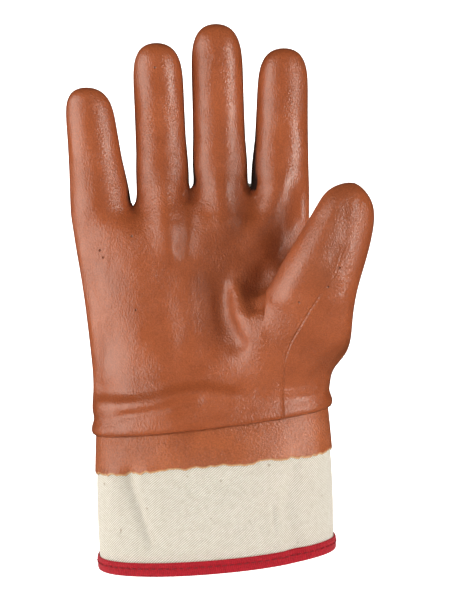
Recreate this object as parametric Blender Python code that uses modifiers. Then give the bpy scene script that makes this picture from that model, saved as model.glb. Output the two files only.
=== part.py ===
# Insulated work glove for the right hand, seen palm forward, fingers up.
# A coated hand with four fingers and a thumb is sewn to a straight canvas safety cuff.
# The coating runs a little way down the canvas, and a red tape binds the cuff's mouth.
# Units are metres. +Z is up the fingers, -Y is the palm side and +X is the thumb side.
# The origin is the middle of the cuff's mouth, where the wrist goes in.

import math

import bmesh
import bpy
import numpy as np
from mathutils import Euler, Vector

# Hand
HAND_WALL = 0.0026          # knitted fabric, insulation and coating together
PALM_WIDTH = 0.117          # across the roots of the four fingers
PALM_HEIGHT = 0.104         # from the hem to the finger webs
PALM_DEPTH = 0.040          # through the hand at the knuckles
PALM_SHIFT = -0.0127        # the finger roots lie this far towards the little finger
WEB_GAP = 0.0030            # between two fingers at their web
WEB_DIP = 0.05              # how far the wall dips before and behind each web, as a share of PALM_HEIGHT

# Thumb
THUMB_LENGTH = 0.080        # from the middle of its root to its tip
THUMB_WIDTH = 0.0345        # across the middle of the thumb
THUMB_DEPTH = 0.0285

# Cuff
CUFF_HEIGHT = 0.0667        # from the mouth to the hem of the hand
CUFF_WIDTH = 0.1134         # across the canvas at the mouth
CUFF_TAPER = 0.0024         # how much narrower it is at the hem
CUFF_BELLY = 0.0011         # how far each side swells halfway up
CUFF_SHIFT = -0.0019        # the hem's middle lies this far towards the little finger
CUFF_DEPTH = 0.0580         # through the canvas at the mouth
CUFF_SQUARE = 2.1           # the superellipse's power
CANVAS = 0.0016             # two plies of twill
CANVAS_BANDS = 3            # rings of facets up the canvas below the film
COATING = 0.0007            # film on the canvas
COATED_HEIGHT = 0.0195      # how far the film runs down from the hem
SEAM_ALLOWANCE = 0.0040     # canvas hidden inside the hem
TAPE = 0.0010               # thickness of the binding tape
TAPE_HEIGHT = 0.0054        # how far each leg of the tape reaches up from the canvas's edge
TAPE_CORNER = 0.4           # how much of the fold's corners is cut off, as a share of TAPE
SEAT_GAP = 0.0003           # between pieces that lie on each other
SHARP_ANGLE = 40.0          # the cuff's edges are sharp above this angle, in degrees

# The hem, the coating's edge and the mouth aren't square to the hand. Rises are metres per metre.
HEM_RISE_X = 0.118
HEM_RISE_Y = 0.050
EDGE_RISE_X = 0.100
EDGE_RISE_Y = 0.025
MOUTH_RISE_X = 0.085
MOUTH_RISE_Y = 0.100
TILT_FADE = 0.45            # the palm's rings follow the hem's slant up to here, as a share of PALM_HEIGHT

# The four fingers. The root is a share of PALM_WIDTH from the hand's little finger side.
# The foot is how far the finger starts above the palm's top, as a share of PALM_HEIGHT.
# Leans are sideways and forwards at the tip, as shares of the finger's length.
FINGERS = [
    dict(name="little", root=0.131, foot=-0.020, length=0.0586, base=0.0300,
         tip=0.0216, lean=-0.108, curl=0.13),
    dict(name="ring", root=0.389, foot=0.040, length=0.0739, base=0.0258,
         tip=0.0236, lean=-0.040, curl=0.09),
    dict(name="middle", root=0.628, foot=0.068, length=0.0803, base=0.0268,
         tip=0.0242, lean=-0.028, curl=0.07),
    dict(name="index", root=0.876, foot=0.048, length=0.0705, base=0.0286,
         tip=0.0230, lean=0.020, curl=0.10),
]
WEBS = [0.015, 0.100, 0.100]    # heights of the three webs above the palm's top, as shares of PALM_HEIGHT

# Rings up a finger. Heights are shares of its length and girths are shares of its width there.
FINGER_RINGS = [
    dict(up=0.15, girth=0.99),
    dict(up=0.42, girth=0.98),
    dict(up=0.68, girth=1.00),
    dict(up=0.87, girth=1.02),
    dict(up=0.985, girth=0.70),
]
FINGER_ROUNDNESS = 0.92     # a finger's depth as a share of its width
FINGER_TOP = 1.03           # the cage's top vertex, as a share of the length

# Rings up the palm, above the straight hem. Heights are shares of PALM_HEIGHT, sides are shares of
# PALM_WIDTH from the origin, and depths are shares of PALM_DEPTH from the middle of the hand. little,
# hollow and thenar are the palm side at the little finger, the middle and the thumb. square is the
# superellipse's power.
PALM_RINGS = [
    dict(up=0.132, left=-0.522, right=0.483, little=0.755, hollow=0.745,
         thenar=0.810, back=0.755, square=2.2),
    dict(up=0.190, left=-0.517, right=0.486, little=0.690, hollow=0.660,
         thenar=0.880, back=0.690, square=2.2),
    dict(up=0.270, left=-0.522, right=0.552, little=0.650, hollow=0.600,
         thenar=0.955, back=0.650, square=2.3),
    dict(up=0.365, left=-0.533, right=0.545, little=0.610, hollow=0.540,
         thenar=0.920, back=0.610, square=2.4),
    dict(up=0.470, left=-0.545, right=0.495, little=0.580, hollow=0.480,
         thenar=0.600, back=0.575, square=2.5),
    dict(up=0.585, left=-0.558, right=0.450, little=0.550, hollow=0.460,
         thenar=0.500, back=0.545, square=2.5),
    dict(up=0.700, left=-0.574, right=0.424, little=0.515, hollow=0.460,
         thenar=0.480, back=0.510, square=2.6),
    dict(up=0.805, left=-0.591, right=0.404, little=0.475, hollow=0.450,
         thenar=0.465, back=0.470, square=2.6),
    dict(up=0.905, left=-0.604, right=0.394, little=0.425, hollow=0.425,
         thenar=0.425, back=0.425, square=2.6),
]
PALM_SHARES = (0.15, 0.50, 0.84)    # where little, hollow and thenar lie across the palm
HEM_UP = 0.078              # the hand stays as wide as the cuff up to here, as a share of PALM_HEIGHT
HEM_FLARE = 0.0004          # how far the hem's edge stands out from that
THUMB_RINGS_FROM = 3        # the thumb grows from the gap between these two rings of the palm
THUMB_RINGS_TO = 6
THUMB_COLUMNS_FROM = 8      # and between these two columns
THUMB_COLUMNS_TO = 12

# Where the thumb starts: shares of PALM_WIDTH from the origin, PALM_DEPTH and PALM_HEIGHT.
THUMB_ROOT = dict(across=0.365, forward=0.400, up=0.340)

# Rings up the thumb. Places are shares of THUMB_LENGTH from its root, wide and deep are shares of
# THUMB_WIDTH and THUMB_DEPTH, and pitch and roll tip the ring forwards and outwards, in degrees.
THUMB_RINGS = [
    dict(across=0.000, forward=0.160, up=0.108, wide=1.22, deep=0.90, pitch=35.0, roll=6.0),
    dict(across=0.006, forward=0.226, up=0.246, wide=1.21, deep=0.97, pitch=27.0, roll=12.0),
    dict(across=0.052, forward=0.288, up=0.405, wide=1.09, deep=1.02, pitch=22.0, roll=16.0),
    dict(across=0.132, forward=0.344, up=0.574, wide=0.97, deep=1.00, pitch=18.0, roll=18.0),
    dict(across=0.201, forward=0.388, up=0.746, wide=0.85, deep=0.91, pitch=15.0, roll=14.0),
    dict(across=0.234, forward=0.406, up=0.880, wide=0.68, deep=0.68, pitch=12.0, roll=15.0),
]
THUMB_TOP = dict(across=0.272, forward=0.418, up=1.004)

# Folds and dents on the palm side, each along a line. Sides are shares of PALM_WIDTH from the origin,
# heights are shares of PALM_HEIGHT above the hem, and spread and rise are shares of PALM_DEPTH.
FOLDS = [
    dict(name="pocket", side_a=0.14, up_a=0.66, side_b=0.200, up_b=0.56, spread=0.26, rise=-0.10),
    dict(name="curl_left", side_a=0.055, up_a=0.60, side_b=0.075, up_b=0.46, spread=0.16, rise=0.055),
    dict(name="curl_down", side_a=0.075, up_a=0.46, side_b=0.130, up_b=0.31, spread=0.17, rise=0.050),
    dict(name="valley_left", side_a=-0.020, up_a=0.61, side_b=-0.005, up_b=0.44, spread=0.16, rise=-0.045),
    dict(name="crease", side_a=-0.12, up_a=0.72, side_b=0.08, up_b=0.67, spread=0.20, rise=-0.045),
    dict(name="hem_valley", side_a=-0.50, up_a=0.190, side_b=-0.22, up_b=0.190, spread=0.15, rise=-0.05),
    dict(name="hem_valley_up", side_a=-0.20, up_a=0.200, side_b=0.02, up_b=0.245, spread=0.15, rise=-0.05),
]
FOLD_FACING = (0.25, 0.75)      # folds start and are full where the wall faces forwards this much
FOLD_REACH = 0.75               # the thumb stands further forward than this share of PALM_DEPTH

COLOURS = {
    "hand_shell": (0.47, 0.13, 0.045, 1.0, 0.32),
    "cuff_coating": (0.47, 0.13, 0.045, 1.0, 0.38),
    "cuff_canvas": (0.76, 0.72, 0.62, 1.0, 0.90),
    "cuff_binding": (0.55, 0.02, 0.03, 1.0, 0.85),
}


def clear_scene():
    for item in list(bpy.data.objects):
        bpy.data.objects.remove(item, do_unlink=True)


def collection_named(name):
    made = bpy.data.collections.new(name)
    bpy.context.scene.collection.children.link(made)
    return made


def material_named(name):
    red, green, blue, alpha, roughness = COLOURS[name]
    made = bpy.data.materials.new(name)
    made.use_nodes = True
    shader = made.node_tree.nodes["Principled BSDF"]
    shader.inputs["Base Color"].default_value = (red, green, blue, alpha)
    shader.inputs["Roughness"].default_value = roughness
    shader.inputs["Metallic"].default_value = 0.0
    return made


def ring_growth(corners):
    """How much larger a cage ring of this many corners is than the ring it is rounded into."""
    return 1.0 / (0.75 + 0.25 * math.cos(2.0 * math.pi / corners))


def hem_height(x, y):
    return CUFF_HEIGHT + HEM_RISE_X * x + HEM_RISE_Y * y


def edge_height(x, y):
    return CUFF_HEIGHT - COATED_HEIGHT + EDGE_RISE_X * x + EDGE_RISE_Y * y


def mouth_height(x, y):
    return TAPE + SEAT_GAP + MOUTH_RISE_X * x + MOUTH_RISE_Y * y


# The palm's ring has three columns a finger, front and back, and one column at each side.
SLOT_PARTS = (-1, 0, 1)
FRONT_SLOTS = [(finger, part) for finger in range(len(FINGERS)) for part in SLOT_PARTS]
PALM_CORNERS = 2 * len(FRONT_SLOTS) + 2
FINGER_CORNERS = 8
THUMB_CORNERS = 2 * (THUMB_RINGS_TO - THUMB_RINGS_FROM + THUMB_COLUMNS_TO - THUMB_COLUMNS_FROM)
LAST_FINGER = len(FINGERS) - 1


def finger_middle(finger):
    return PALM_SHIFT + PALM_WIDTH * (FINGERS[finger]["root"] - 0.5)


def slot_x(finger, part):
    """Where a column stands at the finger roots. A finger's outer columns face its neighbours."""
    half = FINGERS[finger]["base"] / 2
    return finger_middle(finger) + part * half * math.sin(math.pi / 4)


def slot_share(finger, part):
    """The same place as a share of the palm's width, from 0 at the little finger's side."""
    low = finger_middle(0) - FINGERS[0]["base"] / 2
    high = finger_middle(LAST_FINGER) + FINGERS[LAST_FINGER]["base"] / 2
    return (slot_x(finger, part) - low) / (high - low)


def palm_point(row, share, side):
    """A point of a palm ring. side is -1 on the palm, 1 on the back and 0 at the hand's two edges."""
    left, right = row["left"] * PALM_WIDTH, row["right"] * PALM_WIDTH
    x = left + share * (right - left)
    offset = abs(2 * share - 1)
    fullness = max(0.0, 1.0 - offset ** row["square"]) ** (1.0 / row["square"])
    front = np.interp(share, PALM_SHARES, (row["little"], row["hollow"], row["thenar"]))
    depth = PALM_DEPTH * (front if side < 0 else row["back"])
    y = side * depth * fullness
    grow = ring_growth(PALM_CORNERS)
    middle = (left + right) / 2
    x = middle + (x - middle) * grow
    tilt = max(0.0, 1.0 - row["up"] / TILT_FADE)
    level = CUFF_HEIGHT + row["up"] * PALM_HEIGHT
    return Vector((x, y * grow, level + tilt * (hem_height(x, y) - CUFF_HEIGHT)))


def ring_places():
    """Shares and sides of all the palm's columns, in order round the hand."""
    front = [(slot_share(*slot), -1) for slot in FRONT_SLOTS]
    back = [(slot_share(*slot), 1) for slot in reversed(FRONT_SLOTS)]
    return front + [(1.0, 0)] + back + [(0.0, 0)]


RING_PLACES = ring_places()


def palm_ring(row):
    """Front columns from the little finger to the index finger, the thumb side, then back again."""
    front = [palm_point(row, slot_share(*slot), -1) for slot in FRONT_SLOTS]
    back = [palm_point(row, slot_share(*slot), 1) for slot in reversed(FRONT_SLOTS)]
    return front + [palm_point(row, 1.0, 0)] + back + [palm_point(row, 0.0, 0)]


def finger_ring(finger, row):
    """Eight points round a finger: little finger's side, three in front, thumb side, three behind."""
    data = FINGERS[finger]
    up = row["up"]
    width = data["base"] + (data["tip"] - data["base"]) * min(1.0, up)
    half = 0.5 * width * row["girth"] * ring_growth(FINGER_CORNERS)
    centre = finger_centre(finger, up)
    points = []
    for corner in range(FINGER_CORNERS):
        angle = math.pi + corner * 2 * math.pi / FINGER_CORNERS
        across = half * math.cos(angle)
        deep = half * FINGER_ROUNDNESS * math.sin(angle)
        points.append(centre + Vector((across, deep, 0)))
    return points


def finger_centre(finger, up):
    data = FINGERS[finger]
    length = data["length"]
    x = finger_middle(finger) + data["lean"] * length * up
    y = -data["curl"] * length * up ** 2
    z = CUFF_HEIGHT + PALM_HEIGHT * (1 + data["foot"]) + length * up
    return Vector((x, y, z))


def root_ring(finger):
    """A finger's first ring, whose front and back corners are the palm's top."""
    points = finger_ring(finger, dict(up=0.0, girth=1.0))
    half_gap = WEB_GAP / 2
    left = finger_middle(finger) - FINGERS[finger]["base"] / 2
    right = finger_middle(finger) + FINGERS[finger]["base"] / 2
    web_left = web_height(finger - 1)
    web_right = web_height(finger)
    dip = WEB_DIP * PALM_HEIGHT
    for corner, share in ((1, 0), (7, 0), (2, 0.5), (6, 0.5), (3, 1), (5, 1)):
        level = web_left + share * (web_right - web_left)
        points[corner].z = level - dip
    points[0].z, points[4].z = web_left, web_right
    if finger > 0:
        points[0].x = left + half_gap
    else:
        points[0].z -= dip
    if finger < LAST_FINGER:
        points[4].x = right - half_gap
    else:
        points[4].z -= dip
    return points


def web_height(gap):
    """The height of the web between finger number gap and the next, or of the hand's edge."""
    nearest = min(len(WEBS) - 1, max(0, gap))
    return CUFF_HEIGHT + PALM_HEIGHT * (1 + WEBS[nearest])


def hem_rings():
    """The hand's two lowest rings, which stand off the coated cuff by the wall and the gaps."""
    off = HAND_WALL + 2 * SEAT_GAP + COATING
    half = (CUFF_WIDTH - CUFF_TAPER) / 2 + off
    depth = (CUFF_DEPTH - CUFF_TAPER) / 2 + off
    rings = []
    for up, flare in ((0.0, HEM_FLARE), (HEM_UP, 0.0)):
        row = dict(up=up, left=(CUFF_SHIFT - half - flare) / PALM_WIDTH)
        row.update(right=(CUFF_SHIFT + half + flare) / PALM_WIDTH, square=CUFF_SQUARE)
        row.update(dict.fromkeys(("little", "hollow", "thenar", "back"), (depth + flare) / PALM_DEPTH))
        rings.append(row)
    return rings


def thumb_ring(row, root):
    grow = ring_growth(THUMB_CORNERS)
    turn = Euler((math.radians(row["pitch"]), math.radians(row["roll"]), 0)).to_matrix()
    centre = root + THUMB_LENGTH * Vector((row["across"], -row["forward"], row["up"]))
    points = []
    turned = (THUMB_RINGS_TO - THUMB_RINGS_FROM) / 2
    for corner in range(THUMB_CORNERS):
        angle = math.pi + (corner - turned) * 2 * math.pi / THUMB_CORNERS
        across = 0.5 * THUMB_WIDTH * row["wide"] * grow * math.cos(angle)
        deep = 0.5 * THUMB_DEPTH * row["deep"] * grow * math.sin(angle)
        points.append(centre + turn @ Vector((across, deep, 0)))
    return points


def add_verts(bm, points):
    return [bm.verts.new(point) for point in points]


def bridge(bm, lower, upper, skip=()):
    """Quads between two rings of as many vertices."""
    count = len(lower)
    for corner in range(count):
        if corner in skip:
            continue
        after = (corner + 1) % count
        bm.faces.new((lower[corner], lower[after], upper[after], upper[corner]))


def cap(bm, ring, point):
    """Closes a ring with quads that meet at one vertex."""
    top = bm.verts.new(point)
    count = len(ring)
    for corner in range(0, count, 2):
        bm.faces.new((top, ring[corner], ring[corner + 1], ring[(corner + 2) % count]))


def add_fingers(bm, top):
    """Roots that share the palm's top row, the webs between them, and the fingers."""
    count = len(top)
    columns = len(SLOT_PARTS)
    roots = []
    for finger in range(len(FINGERS)):
        points = root_ring(finger)
        front = [top[columns * finger + part] for part in range(columns)]
        back = [top[count - 2 - columns * finger - part] for part in range(columns)]
        left = top[-1] if finger == 0 else bm.verts.new(points[0])
        right = top[len(FRONT_SLOTS)] if finger == LAST_FINGER else bm.verts.new(points[4])
        ring = [left, *front, right, *reversed(back)]
        for vert, point in zip(ring, points):
            vert.co = point
        roots.append(ring)
    for near, far in zip(roots, roots[1:]):
        bm.faces.new((near[3], far[1], far[0], near[4]))
        bm.faces.new((near[4], far[0], far[7], near[5]))
    for finger, ring in enumerate(roots):
        for row in FINGER_RINGS:
            above = add_verts(bm, finger_ring(finger, row))
            bridge(bm, ring, above)
            ring = above
        cap(bm, ring, finger_centre(finger, FINGER_TOP))


def add_thumb(bm, rings):
    """The thumb grows from the gap left in the palm between two rings and four columns."""
    first, last = THUMB_COLUMNS_FROM, THUMB_COLUMNS_TO
    left = [rings[level][first] for level in range(THUMB_RINGS_TO, THUMB_RINGS_FROM - 1, -1)]
    bottom = [rings[THUMB_RINGS_FROM][column] for column in range(first + 1, last + 1)]
    right = [rings[level][last] for level in range(THUMB_RINGS_FROM + 1, THUMB_RINGS_TO + 1)]
    top = [rings[THUMB_RINGS_TO][column] for column in range(last - 1, first, -1)]
    ring = left + bottom + right + top
    level = CUFF_HEIGHT + THUMB_ROOT["up"] * PALM_HEIGHT
    root = Vector((THUMB_ROOT["across"] * PALM_WIDTH, -THUMB_ROOT["forward"] * PALM_DEPTH, level))
    for row in THUMB_RINGS:
        above = add_verts(bm, thumb_ring(row, root))
        bridge(bm, ring, above)
        ring = above
    tip = Vector((THUMB_TOP["across"], -THUMB_TOP["forward"], THUMB_TOP["up"]))
    cap(bm, ring, root + THUMB_LENGTH * tip)


def hand_cage():
    """The coarse open cage of the hand's outer surface, palm, fingers and thumb in one."""
    bm = bmesh.new()
    rings = [add_verts(bm, palm_ring(row)) for row in hem_rings() + PALM_RINGS]
    top_row = dict(PALM_RINGS[-1], up=1.0)
    rings.append(add_verts(bm, palm_ring(top_row)))
    columns = range(THUMB_COLUMNS_FROM, THUMB_COLUMNS_TO)
    for level, (lower, upper) in enumerate(zip(rings, rings[1:])):
        at_thumb = THUMB_RINGS_FROM <= level < THUMB_RINGS_TO
        bridge(bm, lower, upper, skip=columns if at_thumb else ())
    add_fingers(bm, rings[-1])
    add_thumb(bm, rings)
    mesh = bpy.data.meshes.new("hand_cage")
    bmesh.ops.recalc_face_normals(bm, faces=bm.faces)
    bm.to_mesh(mesh)
    bm.free()
    return mesh


def add_object(name, mesh, collection):
    made = bpy.data.objects.new(name, mesh)
    mesh.materials.append(material_named(name))
    collection.objects.link(made)
    return made


def fold_rise(fold, point):
    """How far one fold moves this point of the palm outwards."""
    start = Vector((fold["side_a"] * PALM_WIDTH, fold["up_a"] * PALM_HEIGHT))
    end = Vector((fold["side_b"] * PALM_WIDTH, fold["up_b"] * PALM_HEIGHT))
    here = Vector((point.x, point.z - hem_height(point.x, 0)))
    along = end - start
    share = min(1.0, max(0.0, (here - start).dot(along) / along.length_squared))
    away = (here - start - share * along).length / (fold["spread"] * PALM_DEPTH)
    return fold["rise"] * PALM_DEPTH * math.exp(-away * away)


def press_folds(mesh):
    """Moves the palm side along its normals. Points that face up, down or back stay where they are."""
    start, full = FOLD_FACING
    normals = [vert.normal.copy() for vert in mesh.vertices]
    for vert, normal in zip(mesh.vertices, normals):
        facing = min(1.0, max(0.0, -normal.y - start) / (full - start))
        if facing > 0 and vert.co.y > -FOLD_REACH * PALM_DEPTH:
            rise = sum(fold_rise(fold, vert.co) for fold in FOLDS)
            vert.co += normal * rise * facing


def rounded(mesh, collection):
    """The mesh after one step of Catmull-Clark subdivision."""
    cage = bpy.data.objects.new("cage", mesh)
    collection.objects.link(cage)
    rounding = cage.modifiers.new("rounding", "SUBSURF")
    rounding.levels = rounding.render_levels = 1
    graph = bpy.context.evaluated_depsgraph_get()
    made = bpy.data.meshes.new_from_object(cage.evaluated_get(graph))
    bpy.data.objects.remove(cage, do_unlink=True)
    return made


def build_hand(collection):
    mesh = rounded(hand_cage(), collection)
    mesh.materials.clear()
    press_folds(mesh)
    hand = add_object("hand_shell", mesh, collection)
    wall = hand.modifiers.new("wall", "SOLIDIFY")
    wall.thickness = HAND_WALL
    wall.offset = -1
    mesh.shade_smooth()
    return hand


def cuff_ring(out, height):
    """A ring round the cuff, this far outside the canvas. height gives its level at a place x, y."""
    up = min(1.0, height(0, 0) / CUFF_HEIGHT)
    belly = CUFF_BELLY * math.sin(math.pi * max(0.0, up))
    half = (CUFF_WIDTH - CUFF_TAPER * up) / 2 + belly + out
    depth = (CUFF_DEPTH - CUFF_TAPER * up) / 2 + belly + out
    grow = ring_growth(PALM_CORNERS)
    corners = []
    for share, side in RING_PLACES:
        offset = 2 * share - 1
        fullness = max(0.0, 1.0 - abs(offset) ** CUFF_SQUARE) ** (1.0 / CUFF_SQUARE)
        x = CUFF_SHIFT * up + half * offset * grow
        corners.append(Vector((x, side * depth * fullness * grow, 0)))
    ring = refine(corners)
    for point in ring:
        point.z = height(point.x, point.y)
    return ring


def refine(corners):
    """Twice as many points, as subdivision would round this closed ring."""
    points = []
    for corner, here in enumerate(corners):
        before = corners[corner - 1]
        after = corners[(corner + 1) % len(corners)]
        points.append((before + 6 * here + after) / 8)
        points.append((here + after) / 2)
    return points


def sweep(name, profile, collection):
    """A closed band round the cuff. The profile lists (out, height) pairs in order round its section."""
    bm = bmesh.new()
    rings = [add_verts(bm, cuff_ring(out, height)) for out, height in profile]
    for lower, upper in zip(rings, rings[1:] + rings[:1]):
        bridge(bm, lower, upper)
    bmesh.ops.recalc_face_normals(bm, faces=bm.faces)
    mesh = bpy.data.meshes.new(name)
    bm.to_mesh(mesh)
    bm.free()
    mesh.shade_smooth()
    mesh.set_sharp_from_angle(angle=math.radians(SHARP_ANGLE))
    return add_object(name, mesh, collection)


def between(low, high, share):
    """The level that lies this share of the way from one slanted plane to another."""
    return lambda x, y: low(x, y) + share * (high(x, y) - low(x, y))


def above(plane, rise):
    return lambda x, y: plane(x, y) + rise


def build_canvas(collection):
    top = above(hem_height, SEAM_ALLOWANCE)
    shares = [band / CANVAS_BANDS for band in range(CANVAS_BANDS + 1)]
    levels = [between(mouth_height, edge_height, share) for share in shares] + [hem_height, top]
    outside = [(0.0, level) for level in levels]
    inside = [(-CANVAS, level) for level in reversed(levels)]
    sweep("cuff_canvas", outside + inside, collection)


def build_coating(collection):
    top = above(hem_height, SEAM_ALLOWANCE)
    inner = SEAT_GAP
    outer = SEAT_GAP + COATING
    profile = [(outer, edge_height), (outer, hem_height), (outer, top)]
    profile += [(inner, top), (inner, hem_height), (inner, edge_height)]
    sweep("cuff_coating", profile, collection)


def build_binding(collection):
    """A tape folded over the mouth's edge, with one leg outside and one inside."""
    outer = SEAT_GAP + TAPE
    inner = -CANVAS - SEAT_GAP - TAPE
    near, far = SEAT_GAP, -CANVAS - SEAT_GAP
    leg = above(mouth_height, TAPE_HEIGHT)
    edge = above(mouth_height, -SEAT_GAP)
    foot = above(mouth_height, -SEAT_GAP - TAPE)
    corner = TAPE_CORNER * TAPE
    shoulder = above(mouth_height, -SEAT_GAP - TAPE + corner)
    profile = [(outer, leg), (outer, shoulder), (outer - corner, foot), (inner + corner, foot)]
    profile += [(inner, shoulder), (inner, leg), (far, leg), (far, edge), (near, edge), (near, leg)]
    sweep("cuff_binding", profile, collection)


def main():
    clear_scene()
    glove = collection_named("work_glove")
    build_hand(glove)
    build_canvas(glove)
    build_coating(glove)
    build_binding(glove)


main()
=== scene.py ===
import math

import bmesh
import bpy
import numpy as np
from mathutils import Euler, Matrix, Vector
from numpy.linalg import norm


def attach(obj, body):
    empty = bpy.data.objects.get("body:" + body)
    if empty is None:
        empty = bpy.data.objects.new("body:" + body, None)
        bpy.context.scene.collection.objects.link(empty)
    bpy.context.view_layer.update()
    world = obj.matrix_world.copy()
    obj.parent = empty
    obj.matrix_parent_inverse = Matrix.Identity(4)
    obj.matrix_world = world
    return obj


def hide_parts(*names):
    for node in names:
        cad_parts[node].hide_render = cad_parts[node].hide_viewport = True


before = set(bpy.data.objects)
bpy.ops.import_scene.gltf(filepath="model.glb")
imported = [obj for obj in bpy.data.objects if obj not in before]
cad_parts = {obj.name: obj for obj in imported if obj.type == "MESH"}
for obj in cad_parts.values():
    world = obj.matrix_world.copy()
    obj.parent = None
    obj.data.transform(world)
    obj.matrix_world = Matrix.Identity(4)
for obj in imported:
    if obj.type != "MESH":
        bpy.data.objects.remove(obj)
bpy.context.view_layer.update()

# An insulated work glove: a coated hand on a canvas safety cuff with a red bound edge.
# Metres, +Z up the fingers, the palm faces -Y and the thumb is on the +X side.
scene = bpy.context.scene

# The hand: the same coarse cage as the CAD part, rounded much finer and then sculpted.
glove = {
    "wall": 0.0026,  # fabric, insulation and coating together
    "palmWidth": 0.117,
    "palmHeight": 0.104,
    "palmDepth": 0.040,
    "palmShift": -0.0127,
    "webGap": 0.0030,
    "webDip": 0.05,
    "tiltFade": 0.45,
    "hemUp": 0.078,
    "hemFlare": 0.0004,
    "webs": (0.015, 0.100, 0.100),
    "palmShares": (0.15, 0.50, 0.84),
    "roundness": 0.92,
    "fingerTop": 1.03,
    "rounding": 3,  # steps of subdivision
}
fingers = [
    dict(root=0.131, foot=-0.020, length=0.0586, base=0.0300, tip=0.0216, lean=-0.108, curl=0.13),
    dict(root=0.389, foot=0.040, length=0.0739, base=0.0258, tip=0.0236, lean=-0.040, curl=0.09),
    dict(root=0.628, foot=0.068, length=0.0803, base=0.0268, tip=0.0242, lean=-0.028, curl=0.07),
    dict(root=0.876, foot=0.048, length=0.0705, base=0.0286, tip=0.0230, lean=0.020, curl=0.10),
]
fingerRings = ((0.15, 0.99), (0.42, 0.98), (0.68, 1.00), (0.87, 1.02), (0.985, 0.70))  # up, girth

# Rings up the palm: up, left, right, little, hollow, ball, back, square
palmRings = [
    (0.132, -0.522, 0.483, 0.755, 0.745, 0.810, 0.755, 2.2),
    (0.190, -0.517, 0.486, 0.690, 0.660, 0.880, 0.690, 2.2),
    (0.270, -0.522, 0.552, 0.650, 0.600, 0.955, 0.650, 2.3),
    (0.365, -0.533, 0.545, 0.610, 0.540, 0.920, 0.610, 2.4),
    (0.470, -0.545, 0.495, 0.580, 0.480, 0.600, 0.575, 2.5),
    (0.585, -0.558, 0.450, 0.550, 0.460, 0.500, 0.545, 2.5),
    (0.700, -0.574, 0.424, 0.515, 0.460, 0.480, 0.510, 2.6),
    (0.805, -0.591, 0.404, 0.475, 0.450, 0.465, 0.470, 2.6),
    (0.905, -0.604, 0.394, 0.425, 0.425, 0.425, 0.425, 2.6),
]
thumb = {
    "length": 0.080,
    "width": 0.0345,
    "depth": 0.0285,
    "across": 0.365,  # the root's place, in shares of the palm
    "forward": 0.400,
    "up": 0.340,
    "rings": (3, 6),  # it grows from the palm's cage between these rings
    "columns": (8, 12),  # and these columns
    "top": (0.272, 0.418, 1.004),
}
# Rings up the thumb: across, forward, up, wide, deep, pitch, roll
thumbRings = [
    (0.000, 0.160, 0.108, 1.22, 0.90, 35.0, 6.0),
    (0.006, 0.226, 0.246, 1.21, 0.97, 27.0, 12.0),
    (0.052, 0.288, 0.405, 1.09, 1.02, 22.0, 16.0),
    (0.132, 0.344, 0.574, 0.97, 1.00, 18.0, 18.0),
    (0.201, 0.388, 0.746, 0.85, 0.91, 15.0, 14.0),
    (0.234, 0.406, 0.880, 0.68, 0.68, 12.0, 15.0),
]
cuff = {
    "height": 0.0667,
    "width": 0.1134,
    "depth": 0.0580,
    "taper": 0.0024,
    "belly": 0.0011,
    "shift": -0.0019,
    "square": 2.1,
    "canvas": 0.0016,
    "coating": 0.0007,
    "coatedHeight": 0.0195,
    "seamAllowance": 0.0040,
    "tape": 0.0010,
    "tapeHeight": 0.0054,
    "seatGap": 0.0003,
    "hemRise": (0.118, 0.050),  # metres up for each metre across and back
    "edgeRise": (0.100, 0.025),
    "mouthRise": (0.085, 0.100),
    "around": 416,  # columns of the finished cloth
}


def slopedLevel(level, rise):
    return lambda x, y: level + rise[0] * x + rise[1] * y


hemHeight = slopedLevel(cuff["height"], cuff["hemRise"])
edgeHeight = slopedLevel(cuff["height"] - cuff["coatedHeight"], cuff["edgeRise"])
mouthHeight = slopedLevel(cuff["tape"] + cuff["seatGap"], cuff["mouthRise"])


def ringGrowth(corners):
    return 3.0 / (2.0 + math.cos(2.0 * math.pi / corners))  # subdivision draws a ring in by this


slots = [(finger, part) for finger in range(4) for part in (-1, 0, 1)]
palmCorners = 2 * len(slots) + 2
thumbCorners = 14


def fingerMiddle(finger):
    return glove["palmShift"] + glove["palmWidth"] * (fingers[finger]["root"] - 0.5)


def slotShare(finger, part):
    low = fingerMiddle(0) - fingers[0]["base"] / 2
    high = fingerMiddle(3) + fingers[3]["base"] / 2
    x = fingerMiddle(finger) + part * fingers[finger]["base"] / 2 * math.sin(math.pi / 4)
    return (x - low) / (high - low)


def palmPoint(row, share, side):
    up, left, right, little, hollow, ball, back, square = row
    left, right = left * glove["palmWidth"], right * glove["palmWidth"]
    fullness = max(0.0, 1.0 - abs(2 * share - 1) ** square) ** (1.0 / square)
    front = np.interp(share, glove["palmShares"], (little, hollow, ball))
    grow = ringGrowth(palmCorners)
    x = (left + right) / 2 + (share - 0.5) * (right - left) * grow
    y = side * glove["palmDepth"] * (front if side < 0 else back) * fullness * grow
    tilt = max(0.0, 1.0 - up / glove["tiltFade"])
    level = cuff["height"] + up * glove["palmHeight"]
    return Vector((x, y, level + tilt * (hemHeight(x, y) - cuff["height"])))


def palmRing(row):
    front = [palmPoint(row, slotShare(*slot), -1) for slot in slots]
    back = [palmPoint(row, slotShare(*slot), 1) for slot in reversed(slots)]
    return front + [palmPoint(row, 1.0, 0)] + back + [palmPoint(row, 0.0, 0)]


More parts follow.
